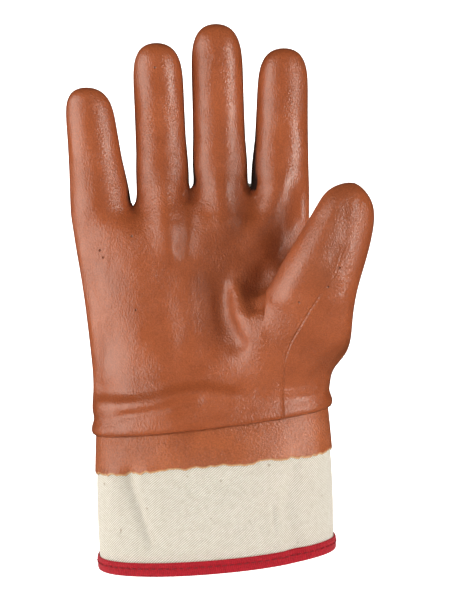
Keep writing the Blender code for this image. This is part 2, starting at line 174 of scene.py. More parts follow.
def hemRows():
    off = glove["wall"] + 2 * cuff["seatGap"] + cuff["coating"]
    half = (cuff["width"] - cuff["taper"]) / 2 + off
    deep = (cuff["depth"] - cuff["taper"]) / 2 + off
    rows = []
    for up, flare in ((0.0, glove["hemFlare"]), (glove["hemUp"], 0.0)):
        left = (cuff["shift"] - half - flare) / glove["palmWidth"]
        right = (cuff["shift"] + half + flare) / glove["palmWidth"]
        thick = (deep + flare) / glove["palmDepth"]
        rows.append((up, left, right, thick, thick, thick, thick, cuff["square"]))
    return rows


def fingerCentre(finger, up):
    data = fingers[finger]
    x = fingerMiddle(finger) + data["lean"] * data["length"] * up
    y = -data["curl"] * data["length"] * up ** 2
    z = cuff["height"] + glove["palmHeight"] * (1 + data["foot"]) + data["length"] * up
    return Vector((x, y, z))


def fingerRing(finger, up, girth):
    data = fingers[finger]
    width = data["base"] + (data["tip"] - data["base"]) * min(1.0, up)
    half = 0.5 * width * girth * ringGrowth(8)
    turn = [math.pi + corner * math.pi / 4 for corner in range(8)]
    centre = fingerCentre(finger, up)
    return [centre + half * Vector((math.cos(a), glove["roundness"] * math.sin(a), 0)) for a in turn]


def webHeight(gap):
    return cuff["height"] + glove["palmHeight"] * (1 + glove["webs"][min(2, max(0, gap))])


def rootRing(finger):
    points = fingerRing(finger, 0.0, 1.0)
    half = fingers[finger]["base"] / 2 - glove["webGap"] / 2
    low, high = webHeight(finger - 1), webHeight(finger)
    dip = glove["webDip"] * glove["palmHeight"]
    for corner, share in ((1, 0), (7, 0), (2, 0.5), (6, 0.5), (3, 1), (5, 1)):
        points[corner].z = low + share * (high - low) - dip
    points[0].z = low - (dip if finger == 0 else 0)
    points[4].z = high - (dip if finger == 3 else 0)
    if finger > 0:
        points[0].x = fingerMiddle(finger) - half
    if finger < 3:
        points[4].x = fingerMiddle(finger) + half
    return points


def thumbRing(row, root):
    across, forward, up, wide, deep, pitch, roll = row
    grow = ringGrowth(thumbCorners)
    turn = Euler((math.radians(pitch), math.radians(roll), 0)).to_matrix()
    centre = root + thumb["length"] * Vector((across, -forward, up))
    points = []
    for corner in range(thumbCorners):
        angle = math.pi + (corner - 1.5) * math.tau / thumbCorners
        flat = Vector((0.5 * thumb["width"] * wide * math.cos(angle),
                       0.5 * thumb["depth"] * deep * math.sin(angle), 0))
        points.append(centre + turn @ (flat * grow))
    return points


def finishedShape(bm, mesh):
    bm.to_mesh(mesh)
    bm.free()
    return mesh


def addVerts(bm, points):
    return [bm.verts.new(point) for point in points]


def bridge(bm, lower, upper, skip=()):
    for corner in range(len(lower)):
        after = (corner + 1) % len(lower)
        if corner not in skip:
            bm.faces.new((lower[corner], lower[after], upper[after], upper[corner]))


def closeTip(bm, ring, point):
    top = bm.verts.new(point)
    for corner in range(0, len(ring), 2):
        bm.faces.new((top, ring[corner], ring[corner + 1], ring[(corner + 2) % len(ring)]))


def addFingers(bm, top):
    roots = []
    for finger in range(4):
        points = rootRing(finger)
        front = top[3 * finger:3 * finger + 3]
        back = [top[len(top) - 2 - 3 * finger - part] for part in range(3)]
        left = top[-1] if finger == 0 else bm.verts.new(points[0])
        right = top[12] if finger == 3 else bm.verts.new(points[4])
        ring = [left, *front, right, *reversed(back)]
        for vert, point in zip(ring, points):
            vert.co = point
        roots.append(ring)
    for near, far in zip(roots, roots[1:]):
        bm.faces.new((near[3], far[1], far[0], near[4]))
        bm.faces.new((near[4], far[0], far[7], near[5]))
    for finger, ring in enumerate(roots):
        for up, girth in fingerRings:
            above = addVerts(bm, fingerRing(finger, up, girth))
            bridge(bm, ring, above)
            ring = above
        closeTip(bm, ring, fingerCentre(finger, glove["fingerTop"]))


def addThumb(bm, rings):
    low, high = thumb["rings"]
    first, last = thumb["columns"]
    ring = [rings[level][first] for level in range(high, low - 1, -1)]
    ring += [rings[low][column] for column in range(first + 1, last + 1)]
    ring += [rings[level][last] for level in range(low + 1, high + 1)]
    ring += [rings[high][column] for column in range(last - 1, first, -1)]
    root = Vector((thumb["across"] * glove["palmWidth"],
                   -thumb["forward"] * glove["palmDepth"],
                   cuff["height"] + thumb["up"] * glove["palmHeight"]))
    for row in thumbRings:
        above = addVerts(bm, thumbRing(row, root))
        bridge(bm, ring, above)
        ring = above
    across, forward, up = thumb["top"]
    closeTip(bm, ring, root + thumb["length"] * Vector((across, -forward, up)))


def handCage():
    bm = bmesh.new()
    rings = [addVerts(bm, palmRing(row)) for row in hemRows() + palmRings]
    rings.append(addVerts(bm, palmRing((1.0, *palmRings[-1][1:]))))
    low, high = thumb["rings"]
    for level, (lower, upper) in enumerate(zip(rings, rings[1:])):
        skip = range(*thumb["columns"]) if low <= level < high else ()
        bridge(bm, lower, upper, skip)
    addFingers(bm, rings[-1])
    addThumb(bm, rings)
    bmesh.ops.delete(bm, geom=[vert for vert in bm.verts if not vert.link_faces], context="VERTS")
    bmesh.ops.recalc_face_normals(bm, faces=bm.faces)
    return finishedShape(bm, bpy.data.meshes.new("handCage"))


def finishedMesh(thing):
    bpy.context.view_layer.update()
    graph = bpy.context.evaluated_depsgraph_get()
    return bpy.data.meshes.new_from_object(thing.evaluated_get(graph))


def addThing(name, data):
    thing = bpy.data.objects.new(name, data)
    scene.collection.objects.link(thing)
    return thing


def addPiece(name, mesh, *materials):
    piece = addThing(name, mesh)
    mesh.materials.clear()
    for material in materials:
        mesh.materials.append(material)
    return piece


def refined(mesh, levels):
    holder = addPiece("holder", mesh)
    rounding = holder.modifiers.new("rounding", "SUBSURF")
    rounding.levels = rounding.render_levels = levels
    made = finishedMesh(holder)
    bpy.data.objects.remove(holder, do_unlink=True)
    return made


def readVectors(mesh, name):
    vectors = np.empty(len(mesh.vertices) * 3)
    mesh.vertices.foreach_get(name, vectors)
    return vectors.reshape(-1, 3)


def writePoints(mesh, points):
    mesh.vertices.foreach_set("co", points.ravel())
    mesh.update()


def addField(mesh, name, values):
    field = mesh.attributes.new(name, "FLOAT", "POINT")
    field.data.foreach_set("value", np.asarray(values, dtype=np.float32))


# Folds of the palm side, which push the skin out or in: a line of (x, z) places, half width and rise in mm
palmFolds = {
    "hookValley": ([(3, 130), (2.5, 124), (3.5, 117), (6.5, 110), (10, 104)], 3.8, -2.8),
    "hookSlope": ([(-2, 133), (-2.5, 124), (-1, 115), (3, 107)], 8.0, -1.9),
    "hookTop": ([(5.5, 138), (6, 134)], 4.0, -0.8),
    "pocket": ([(23, 137.5), (20.5, 131.5), (17.8, 123.5)], 5.4, -3.4),
    "headCrease": ([(-14, 141), (5, 141), (20, 140)], 9.0, -1.4),
    "middleRise": ([(-13, 133), (-14, 118), (-13, 104)], 7.0, 0.8),
    "ringValley": ([(-25, 139), (-26, 130), (-24, 115), (-21, 108)], 8.0, -1.8),
    "littleRingGap": ([(-38, 172), (-37, 162)], 5.0, -1.3),
    "ringMiddleGap": ([(-12.5, 182), (-13, 177)], 4.2, -1.6),
    "belowRingMiddle": ([(-13.5, 174), (-13, 160), (-14, 150)], 4.4, -2.2),
    "ringRoot": ([(-25, 178), (-24, 162), (-22.5, 149)], 6.0, 2.2),
    "middleRoot": ([(3, 179), (4, 163)], 6.5, 1.8),
    "rootRing": ([(12.9, 180), (13.4, 177.5), (15, 175.6), (17, 175.3), (19, 176.5), (20.3, 179)], 1.2, 0.7),
    "middleIndexGap": ([(16.5, 181), (17, 168)], 5.0, -1.6),
    "indexRoot": ([(29, 179), (25, 163), (20, 153)], 7.0, 2.2),
    "indexSlope": ([(43, 172), (39, 158), (33, 146)], 7.0, -2.6),
    "hemValley": ([(-57, 83), (-43, 81), (-31, 83), (-19, 87.5), (-5, 88.5), (9, 85.5), (20, 83)], 4.4, -1.5),
    "hemRidge": ([(-56, 75), (-31, 77.5), (-19, 81.5), (-5, 82.5), (8, 81)], 3.4, 1.0),
    "lowerValley": ([(-45, 70.5), (-31, 73), (-18, 76), (-8, 78.5)], 2.0, -0.9),
    "lowerRidge": ([(-45, 67.5), (-31, 69.5), (-18, 72)], 2.2, 0.4),
    "rightDent": ([(51, 90), (51, 94)], 4.0, -1.2),
}
thumbFolds = {  # the same on the front of the thumb
    "tipRidge": ([(64.5, 179), (63.5, 171), (61, 163)], 2.2, 0.55),
    "tipHollow": ([(59.5, 165), (58, 154), (54, 145)], 3.8, -0.9),
    "padRise": ([(47, 154), (39, 138), (33, 128)], 5.0, 0.8),
}
palmFront = dict(turned=0.15, fullyTurned=0.60, thumb=-0.0335, soft=0.002)  # skin that the folds reach

# The ball of the thumb, filled out from the palm by bands: (x, z, how far forward) knots, the half width
# over which a band is full, and how soon it falls off past that, in millimetres
ballBands = [
    ([(8, 123, 22), (8.6, 118, 24.5), (10, 112, 27), (13, 106, 29.3), (16.5, 101, 30.5), (19, 96, 30.6)],
     1.0, 1.9),
    ([(13, 117, 28), (15, 111, 30), (18, 105, 31), (21, 99, 31.3)], 2.5, 2.5),
    ([(18.5, 116, 32.6), (20, 110, 33.3), (22.5, 104, 32.8), (24.5, 98, 32)], 3.0, 3.0),
    ([(23, 115, 35.5), (25, 110, 36.2), (26.5, 104, 34.8), (27, 98, 33)], 3.0, 3.0),
]
webBand = ([(7.0, 130.5, 21.0), (10, 128.5, 23.3), (12, 125, 25.8), (13.5, 121, 28.5), (16, 118.2, 31.8),
            (19.5, 118.6, 34.8), (22.8, 119.8, 37.2)], 1.1, 2.3)
ballTurns = dict(turns=8, rounds=12)  # pushed out and smoothed by turns
palmStart = -0.010  # the palm side lies in front of this
# Where the skin is smoothed: middle and reach in x and in z, from and to in y, strength, rounds
softZones = {
    "ball": ((0.021, 0.015), (0.106, 0.015), (-1.0, palmStart), 1.6, 240),
    "web": ((0.012, 0.012), (0.124, 0.011), (-0.034, palmStart), 1.5, 7),
    "hookTop": ((0.0055, 0.0055), (0.1315, 0.0055), (-1.0, palmStart), 1.5, 16),
}
thumbShift = dict(centre=(0.025, -0.031, 0.119), spread=0.010, move=(-0.0042, 0.0, 0.0))
thumbFold = dict(centre=(0.0232, -0.0350, 0.1190), reach=0.0080, strength=1.5, rounds=90,
                 clear=0.005, spread=0.012, least=0.05)  # the last three thin the wall inside it
palmSlope = dict(start=-0.026, end=-0.062, low=0.070, lowFade=0.02, high=0.170, highFade=0.03,
                 front=0.012, power=1.4, drop=0.0045)  # the palm's little-finger side
thumbTwist = dict(x=0.0185, z=0.100, slope=0.52, low=0.125, lowFade=0.03, front=0.024, frontFade=0.008,
                  lean=0.22)  # turns the pad outwards from its inner edge
gapPinch = dict(tall=0.024, below=0.004, wide=0.007, middle=0.0012)
# Where two fingers part: x and z of the bottom, and how much each side closes in
gapPinches = [(-0.0405, 0.1720, 0.0014), (-0.0125, 0.1805, 0.0011), (0.0168, 0.1800, 0.0015)]
# Sides of the fingers darkened with painted shade, where they face away from the lamps: x from and to, side,
# z from and to, how far round at either end
paintedShadeSides = [
    (0.010, 0.0313, -1, 0.178, 0.218, 0.70, 1.0),
    (-0.0125, 0.002, -1, 0.178, 0.218, 0.86, 0.98),
    (-0.056, -0.038, 1, 0.169, 0.191, 0.84, 1.0),
]
paintedShadeFade = dict(side=0.07, below=8.0, back=0.35, backFade=0.3)
# Painted shade on the thumb's pad, darkening its colour where the pad turns away from the lamps
paintedPadShade = dict(line=[(58, 166), (54.5, 148), (50, 136)], spread=8.0, share=0.22)  # on the thumb
handMarks = {
    "seam": [(32, 70), (31.5, 86), (32, 97), (34.5, 105), (39, 113.5), (43.5, 121.5), (48.5, 129),
             (54.5, 137), (58, 150), (60.5, 161), (63, 170)],
    "seamTurns": 330.0,  # the stitches along the seam, as an angle
    "seamReach": 0.01,  # how far from the seam its distance is kept
    "seamBack": 0.2,  # and none on skin that faces back more than this
    "seamWide": 0.003,
    "seamProfile": [(0.0, 0.5), (0.38, 0.55), (0.49, 0.02), (0.60, 0.68), (0.74, 0.5), (1.0, 0.5)],
    "seamFade": [(0.0, 1.0), (0.55, 0.9), (0.66, 0.3), (0.84, 0.0)],
    "seamBeat": (0.25, 0.85),  # how much a stitch rises, and the mean
    "pits": [(-40, 155.5), (-54, 145.5), (-55.5, 149), (-38, 120.5), (38, 124), (56, 139.5), (51, 131),
             (-29, 236)],
    "hemRoll": (0.0040, 0.0023),  # how high the rolled hem reaches, and how far it draws in at its edge
    "hemNeck": (0.0082, 0.0032, 0.0010),  # height, half width and depth of the hollow above the roll
}


def clamped(values):
    return np.clip(values, 0, 1)


def runningSums(values):
    return np.append(0.0, np.cumsum(values))


# Signed distance to a line that is given in millimetres, and the share of its length at the nearest place
def alongLine(points, line):
    line = np.array(line, dtype=float) / 1000.0
    lengths = norm(np.diff(line, axis=0), axis=1)
    begins = runningSums(lengths)
    best = np.full(len(points), 1e9)
    place = np.zeros(len(points))
    for start, end, begin, length in zip(line, line[1:], begins, lengths):
        along = end - start
        share = clamped((points - start) @ along / (along @ along))
        away = points - start - share[:, None] * along
        side = np.sign(along[0] * away[:, 1] - along[1] * away[:, 0])
        distance = side * norm(away, axis=1)
        nearer = np.abs(distance) < np.abs(best)
        best = np.where(nearer, distance, best)
        place = np.where(nearer, (begin + share * length) / lengths.sum(), place)
    return best, place


def foldRise(flat, folds):
    rise = np.zeros(len(flat))
    for line, spread, height in folds.values():
        away = alongLine(flat, line)[0] / (spread / 1000.0)
        rise += height / 1000.0 * np.exp(-away ** 2)
    return rise


# Rolls the hem's edge in, and leaves a slight neck above it. Returns how much of the wall is left
def hemShape(points, normals):
    above = points[:, 2] - hemHeight(points[:, 0], points[:, 1])
    height, inset = handMarks["hemRoll"]
    share = clamped(1 - above / height)
    drawn = inset * (1 - np.sqrt(1 - share ** 2))
    middle, spread, depth = handMarks["hemNeck"]
    outward = normals * (1, 1, 0)
    outward /= norm(outward, axis=1)[:, None] + 1e-9
    neck = depth * np.exp(-((above - middle) / spread) ** 2)
    points -= outward * (drawn + neck)[:, None]
    return 1 - drawn / glove["wall"]


def smoothed(mesh, points, weight, rounds):
    ends = np.empty(len(mesh.edges) * 2, dtype=np.int32)
    mesh.edges.foreach_get("vertices", ends)
    first, second = ends.reshape(-1, 2).T
    count = len(points)
    degree = np.bincount(ends, minlength=count)[:, None]
    for turn in range(rounds):
        total = np.stack([np.bincount(first, points[second, axis], count)
                          + np.bincount(second, points[first, axis], count) for axis in range(3)], 1)
        points = points + 0.5 * weight[:, None] * (total / degree - points)
    return points


def zoneShare(points, zone):
    (x, wide), (z, tall), (low, high), strength = zone[:4]
    across, up = (points[:, 0] - x) / wide, (points[:, 2] - z) / tall
    inside = (points[:, 1] > low) & (points[:, 1] < high)
    return clamped(strength - across ** 2 - up ** 2) * inside


# Brings the palm side forward to a band where it lies behind it
def pushedOut(points, band):
    knots, half, fall = band
    line = np.array(knots)
    away, place = alongLine(points[:, (0, 2)], line[:, :2])
    steps = runningSums(norm(np.diff(line[:, :2], axis=0), axis=1))
    forward = np.interp(place, steps / steps[-1], line[:, 2])
    past = np.clip(np.abs(away) * 1000 - half, 0, None)
    level = -(forward - (past / fall) ** 2) / 1000.0
    lower = (points[:, 1] < palmStart) & (level < points[:, 1])
    points[:, 1] = np.where(lower, level, points[:, 1])


def fillBall(mesh, points):
    away = norm(points - thumbShift["centre"], axis=1) / thumbShift["spread"]
    points = points + np.exp(-away ** 2)[:, None] * thumbShift["move"]
    weight = zoneShare(points, softZones["ball"])
    points = smoothed(mesh, points, weight, softZones["ball"][-1])
    for turn in range(ballTurns["turns"]):
        for band in ballBands:
            pushedOut(points, band)
        points = smoothed(mesh, points, weight, ballTurns["rounds"])
    pushedOut(points, webBand)
    for zone in (softZones["web"], softZones["hookTop"]):
        points = smoothed(mesh, points, zoneShare(points, zone), zone[-1])
    away = norm(points - thumbFold["centre"], axis=1) / thumbFold["reach"]
    return smoothed(mesh, points, clamped(thumbFold["strength"] - away ** 2), thumbFold["rounds"])


def pinchGaps(points):
    for x, z, closing in gapPinches:
        up = points[:, 2] - z
        share = clamped(1 - np.clip(up, 0, None) / gapPinch["tall"])
        share *= clamped(1 + up / gapPinch["below"])
        aside = points[:, 0] - x
        near = np.exp(-(aside / gapPinch["wide"]) ** 2) * clamped(np.abs(aside) / gapPinch["middle"])
        points[:, 0] -= np.sign(aside) * closing * share * near


# Slopes the little-finger side of the palm away, and turns the thumb's pad a little outwards
def leanSurfaces(points):
    x, y, z = points.T
    slope, twist = palmSlope, thumbTwist
    side = (x - slope["start"]) / (slope["end"] - slope["start"])
    fade = (clamped((z - slope["low"]) / slope["lowFade"]) * clamped((slope["high"] - z) / slope["highFade"])
            * clamped(-y / slope["front"]))
    past = np.clip(x - twist["x"] - twist["slope"] * (z - twist["z"]), 0, None)
    pad = clamped((z - twist["low"]) / twist["lowFade"]) * clamped((-y - twist["front"]) / twist["frontFade"])
    points[:, 1] += slope["drop"] * clamped(side) ** slope["power"] * fade + twist["lean"] * past * pad


# How much painted shade each point gets, on the fingers' sides that face away from the lamps and on the
# thumb's pad
def paintedShadeShare(points, normals):
    x, z = points[:, 0], points[:, 2]
    dark = np.zeros(len(points))
    palmSide = clamped((paintedShadeFade["back"] - normals[:, 1]) / paintedShadeFade["backFade"])
    for left, right, side, low, high, near, far in paintedShadeSides:
        up = (z - low) / (high - low)
        share = clamped((side * normals[:, 0] - near - (far - near) * up) / paintedShadeFade["side"])
        inside = (x > left) * (x < right) * (up < 1) * palmSide
        dark = np.maximum(dark, share * inside * clamped(1 + up * paintedShadeFade["below"]))
    away = alongLine(points[:, (0, 2)], paintedPadShade["line"])[0] / (paintedPadShade["spread"] / 1000.0)
    return np.maximum(dark, paintedPadShade["share"] * np.exp(-away ** 2) * clamped(-normals[:, 1]))


def sculptHand(mesh):
    points = readVectors(mesh, "co")
    pinchGaps(points)
    leanSurfaces(points)
    points = fillBall(mesh, points)
    writePoints(mesh, points)
    normals = readVectors(mesh, "normal")
    turned, fullyTurned = palmFront["turned"], palmFront["fullyTurned"]
    facing = clamped((-normals[:, 1] - turned) / (fullyTurned - turned))
    palmSide = facing * clamped((points[:, 1] - palmFront["thumb"]) / palmFront["soft"])
    flat = points[:, (0, 2)]
    rise = foldRise(flat, palmFolds) * palmSide + foldRise(flat, thumbFolds) * (facing - palmSide)
    points = points + normals * rise[:, None]
    thickness = hemShape(points, normals)
    away = norm(points - thumbFold["centre"], axis=1) - thumbFold["clear"]
    thickness *= np.clip(away / thumbFold["spread"], thumbFold["least"], 1)
    writePoints(mesh, points)
    seamAway, seamPlace = alongLine(flat, handMarks["seam"])
    reach = handMarks["seamReach"]
    frontal = normals[:, 1] < handMarks["seamBack"]
    addField(mesh, "seamAway", np.where(frontal, np.clip(seamAway, -reach, reach), reach))
    addField(mesh, "seamPlace", seamPlace)
    # the share of painted shade, kept as a field for the material
    addField(mesh, "paintedShade", paintedShadeShare(points, normals))
    return thickness


# Materials
# Each input, by name or number, takes a value or another node's output
def setInputs(tree, node, inputs):
    for name, value in inputs.items():
        if isinstance(value, bpy.types.NodeSocket):
            tree.links.new(value, node.inputs[name])
        else:
            node.inputs[name].default_value = value


def addNode(tree, kind, inputs=(), **settings):
    node = tree.nodes.new(kind)
    for name, value in settings.items():
        setattr(node, name, value)
    setInputs(tree, node, dict(inputs))
    return node


def newMaterial(name):
    material = bpy.data.materials.new(name)
    material.use_nodes = True
    return material, material.node_tree, material.node_tree.nodes["Principled BSDF"]


def bodyPlace(tree):
    return addNode(tree, "ShaderNodeTexCoord").outputs["Object"]


def noiseNode(tree, vector, scale, detail=2.0, roughness=0.5):
    inputs = {"Vector": vector, "Scale": scale, "Detail": detail, "Roughness": roughness}
    return addNode(tree, "ShaderNodeTexNoise", inputs).outputs["Fac"]


def rampNode(tree, value, stops):
    stops = list(stops)
    ramp = addNode(tree, "ShaderNodeValToRGB", {"Fac": value})
    marks = ramp.color_ramp.elements
    while len(marks) < len(stops):
        marks.new(0.5)
    for mark, (place, colour) in zip(marks, stops):
        mark.position = place
        mark.color = (*colour, 1.0)
    return ramp.outputs["Color"]


def greyRamp(tree, value, stops):
    return rampNode(tree, value, [(place, (grey, grey, grey)) for place, grey in stops])


def mathNode(tree, operation, *values):
    return addNode(tree, "ShaderNodeMath", enumerate(values), operation=operation).outputs[0]


def bumpNode(tree, height, strength, distance, before=None):
    inputs = {"Height": height, "Strength": strength, "Distance": distance}
    if before is not None:
        inputs["Normal"] = before
    return addNode(tree, "ShaderNodeBump", inputs).outputs["Normal"]


def mixColours(tree, share, first, second, blend="MIX"):
    inputs = {"Factor": share}
    for name, colour in (("A", first), ("B", second)):
        inputs[name] = (*colour, 1.0) if isinstance(colour, tuple) else colour
    return addNode(tree, "ShaderNodeMix", inputs, data_type="RGBA", blend_type=blend).outputs["Result"]


def fieldNode(tree, name):
    return addNode(tree, "ShaderNodeAttribute", attribute_name=name).outputs["Fac"]


def rangeNode(tree, value, low, high, toLow=0.0, toHigh=1.0):
    inputs = {"Value": value, "From Min": low, "From Max": high, "To Min": toLow, "To Max": toHigh}
    return addNode(tree, "ShaderNodeMapRange", inputs).outputs["Result"]


skinLook = {
    "colours": ((0.375, 0.090, 0.0275), (0.41, 0.101, 0.032), (0.44, 0.112, 0.037)),
    # the near-black colour of the painted shade on the fingers' sides and the thumb's pad
    "paintedShade": (0.022, 0.013, 0.010),
    "roughness": (0.34, 0.46),
    "specular": 0.35,
    "coat": 0.95,
    "coatRoughness": 0.165,
    "swell": (70.0, 0.5, 0.0018),  # soft unevenness: bumps a metre, strength and depth
    "knit": (1250.0, 1250.0, 850.0),  # grain a metre, across and along the strokes
    "knitLean": 35.0,
    "grain": (1.0, 0.00048),  # strength and depth
    "speckle": (1500.0, 0.84, 1.13),  # specks a metre, and how dark and light they turn the colour
}
filmLook = {
    "colours": ((0.38, 0.096, 0.030), (0.44, 0.116, 0.038), (0.49, 0.134, 0.046)),
    "roughness": (0.34, 0.46),
    "specular": 0.4,
    "coat": 0.7,
    "coatRoughness": 0.18,
    "swell": (110.0, 0.4, 0.0008),
    "knit": (1000.0, 1000.0, 1000.0),
    "knitLean": 0.0,
    "grain": (1.0, 0.00080),
    "speckle": (1300.0, 0.82, 1.16),
}
markLook = {
    "blotches": 55.0,  # a metre, in the colour
    "patches": 45.0,  # a metre, duller and more worn by turns
    "seam": (0.9, 0.0010),  # strength and depth
    "pit": (0.8, 0.0008),
    "pitRadius": 0.0007,
    # the near-black painted shade inside each pinhole
    "paintedPitShade": (0.06, 0.018, 0.010),
    "paintedShadeDull": 0.4,  # how much rougher the dark sides are
}
liningLook = dict(dark=(0.52, 0.49, 0.43), light=(0.70, 0.67, 0.60), fuzz=900.0)


# A sunk stitch line with a slight ridge beside it, faded at both ends
def seamHeight(tree):
    wide = handMarks["seamWide"]
    across = rangeNode(tree, fieldNode(tree, "seamAway"), -wide, wide)
    profile = greyRamp(tree, across, handMarks["seamProfile"])
    place = fieldNode(tree, "seamPlace")
    fade = greyRamp(tree, place, handMarks["seamFade"])
    sunk = mathNode(tree, "SUBTRACT", profile, 0.5)
    beat = mathNode(tree, "SINE", mathNode(tree, "MULTIPLY", place, handMarks["seamTurns"]))
    sewn = mathNode(tree, "MULTIPLY_ADD", beat, *handMarks["seamBeat"])
    return mathNode(tree, "MULTIPLY", mathNode(tree, "MULTIPLY", sunk, fade), sewn)


# 1 in the middle of each pinhole and 0 away from them
def pitShare(tree, place, spots, radius):
    nearest = None
    for spot in spots:
        node = addNode(tree, "ShaderNodeVectorMath", {0: place, 1: spot}, operation="DISTANCE")
        away = node.outputs["Value"]
        nearest = away if nearest is None else mathNode(tree, "MINIMUM", nearest, away)
    return rangeNode(tree, nearest, 0.0, radius, 1.0, 0.0)


def coatingMaterial(name, look, spots=(), rim=None):
    material, tree, shader = newMaterial(name)
    place = bodyPlace(tree)
    blotch = noiseNode(tree, place, markLook["blotches"], 3.0)
    colour = rampNode(tree, blotch, zip((0.35, 0.5, 0.68), look["colours"]))
    scale, darkest, lightest = look["speckle"]
    speckle = rangeNode(tree, noiseNode(tree, place, scale, 1.0), 0.3, 0.7, darkest, lightest)
    shaded = {0: colour, "Scale": speckle}
    colour = addNode(tree, "ShaderNodeVectorMath", shaded, operation="SCALE").outputs["Vector"]
    scale, strength, depth = look["swell"]
    normal = bumpNode(tree, noiseNode(tree, place, scale), strength, depth)
    lean = (0.0, math.radians(look["knitLean"]), 0.0)
    knit = addNode(tree, "ShaderNodeMapping", {"Vector": place, "Rotation": lean, "Scale": look["knit"]})
    grain = noiseNode(tree, knit.outputs["Vector"], 1.0, 2.0, 0.55)
    patch = noiseNode(tree, place, markLook["patches"])
    worn = mathNode(tree, "MULTIPLY", grain, rangeNode(tree, patch, 0.35, 0.65, 0.35, 1.0))
    dull = rangeNode(tree, patch, 0.3, 0.7, *look["roughness"])
    normal = bumpNode(tree, worn, *look["grain"], normal)
    if spots:
        normal = bumpNode(tree, seamHeight(tree), *markLook["seam"], normal)
        pit = pitShare(tree, place, spots, markLook["pitRadius"])
        normal = bumpNode(tree, mathNode(tree, "MULTIPLY", pit, -1.0), *markLook["pit"], normal)
        # The pinholes are dented by a bump, and their near-black colour is painted shade inside them
        colour = mixColours(tree, pit, colour, markLook["paintedPitShade"])
        # Painted shade: the colour goes towards near black on the fingers' sides and the thumb's pad, which
        # are also made rougher
        dark = fieldNode(tree, "paintedShade")
        colour = mixColours(tree, dark, colour, look["paintedShade"])
        dull = mathNode(tree, "MULTIPLY_ADD", dark, markLook["paintedShadeDull"], dull)
    if rim:
        cloth = addNode(tree, "ShaderNodeUVMap", uv_map="cloth").outputs["UV"]
        up = addNode(tree, "ShaderNodeSeparateXYZ", {"Vector": cloth}).outputs["Y"]
        edge = rangeNode(tree, up, 0.0003, rim, 0.85, 0.0)
        colour = mixColours(tree, edge, colour, coatedEdge["rimColour"])
    setInputs(tree, shader, {
        "Base Color": colour,
        "Roughness": dull,
        "Normal": normal,
        "Coat Normal": normal,
        "Specular IOR Level": look["specular"],
        "Coat Weight": look["coat"],
        "Coat Roughness": look["coatRoughness"],
    })
    return material


def liningMaterial():
    material, tree, shader = newMaterial("jerseyLining")
    fuzz = noiseNode(tree, bodyPlace(tree), liningLook["fuzz"], 3.0)
    colour = rampNode(tree, fuzz, [(0.3, liningLook["dark"]), (0.7, liningLook["light"])])
    normal = bumpNode(tree, fuzz, 0.6, 0.0004)
    setInputs(tree, shader, {"Base Color": colour, "Roughness": 0.95, "Normal": normal})
    return material


# The skin of the palm side at an (x, z) spot in millimetres
def onSkin(mesh, spot):
    points = readVectors(mesh, "co")
    normals = readVectors(mesh, "normal")
    x, z = spot[0] / 1000.0, spot[1] / 1000.0
    away = np.hypot(points[:, 0] - x, points[:, 2] - z)
    away = np.where(normals[:, 1] < -0.2, away, 1.0)
    away += 0.02 * (points[:, 1] - points[:, 1].min())  # the front one where two lie behind each other
    return (x, points[away.argmin()][1], z)


def buildHand():
    mesh = refined(handCage(), glove["rounding"])
    thickness = sculptHand(mesh).round(2)
    mesh.shade_smooth()
    spots = [onSkin(mesh, spot) for spot in handMarks["pits"]]
    hand = addPiece("hand_coated", mesh, coatingMaterial("dippedSkin", skinLook, spots), liningMaterial())
    group = hand.vertex_groups.new(name="thickness")
    for share in np.unique(thickness):
        group.add(np.flatnonzero(thickness == share).tolist(), float(share), "REPLACE")
    wall = hand.modifiers.new("wall", "SOLIDIFY")
    wall.thickness = glove["wall"]
    wall.offset = -1
    wall.vertex_group = "thickness"
    wall.material_offset = 1
    hand.data = finishedMesh(hand)
    hand.modifiers.clear()
    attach(hand, "root")
    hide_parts("hand_shell")
    print("hand:", len(hand.data.polygons), "faces")


buildHand()


# The cuff: rings of cloth round one surface
cuffDents = {  # folds of its palm side, as on the hand
    "longFold": ([(-42, 42), (-37, 27), (-31, 10)], 3.4, -2.4),
    "leftSwell": ([(-50, 40), (-46, 22), (-41, 6)], 4.5, 1.0),
    "midSwell": ([(-33, 42), (-29, 27), (-24, 12)], 4.5, 0.8),
    "pinch": ([(27.0, 26.5), (27.6, 19)], 1.1, -0.8),
    "pinchEdge": ([(29.2, 26), (29.8, 19.5)], 1.3, 1.1),
    "rightFold": ([(37, 44), (34, 26), (38, 8)], 4.5, -1.8),
    "middleFold": ([(-12, 38), (-15, 10)], 6.0, -1.3),
    "lowSwell": ([(-14, 11), (2, 12.5), (12, 14)], 3.0, 1.0),
}
cuffWaves = [(3, 0.7, 0.45), (5, 2.1, 0.25), (8, 4.0, 0.12)]  # waves round, phase and millimetres
cuffGive = dict(power=0.7, front=0.012, reach=2.5)  # the hem holds the cloth, the mouth lets it wave
clothRings = dict(canvas=30, film=22, leg=9, fold=9)
coatedEdge = {
    "seed": 7,
    "steps": [(23, 0.75), (71, 0.60), (190, 0.55)],  # places round the cuff, and millimetres up or down
    "thin": 0.35,  # share of the film's thickness that is left at its edge
    "thicker": 14.0,  # how soon it is full above that
    "stray": 3.0,  # how soon the ragged edge is level
    "closer": 1.5,  # rings lie closer at the edge
    "seat": 0.4,  # share of the gap that is left under it
    "rim": 0.0012,  # the pale rim where the film thins out
    "rimColour": (0.80, 0.52, 0.26),
}


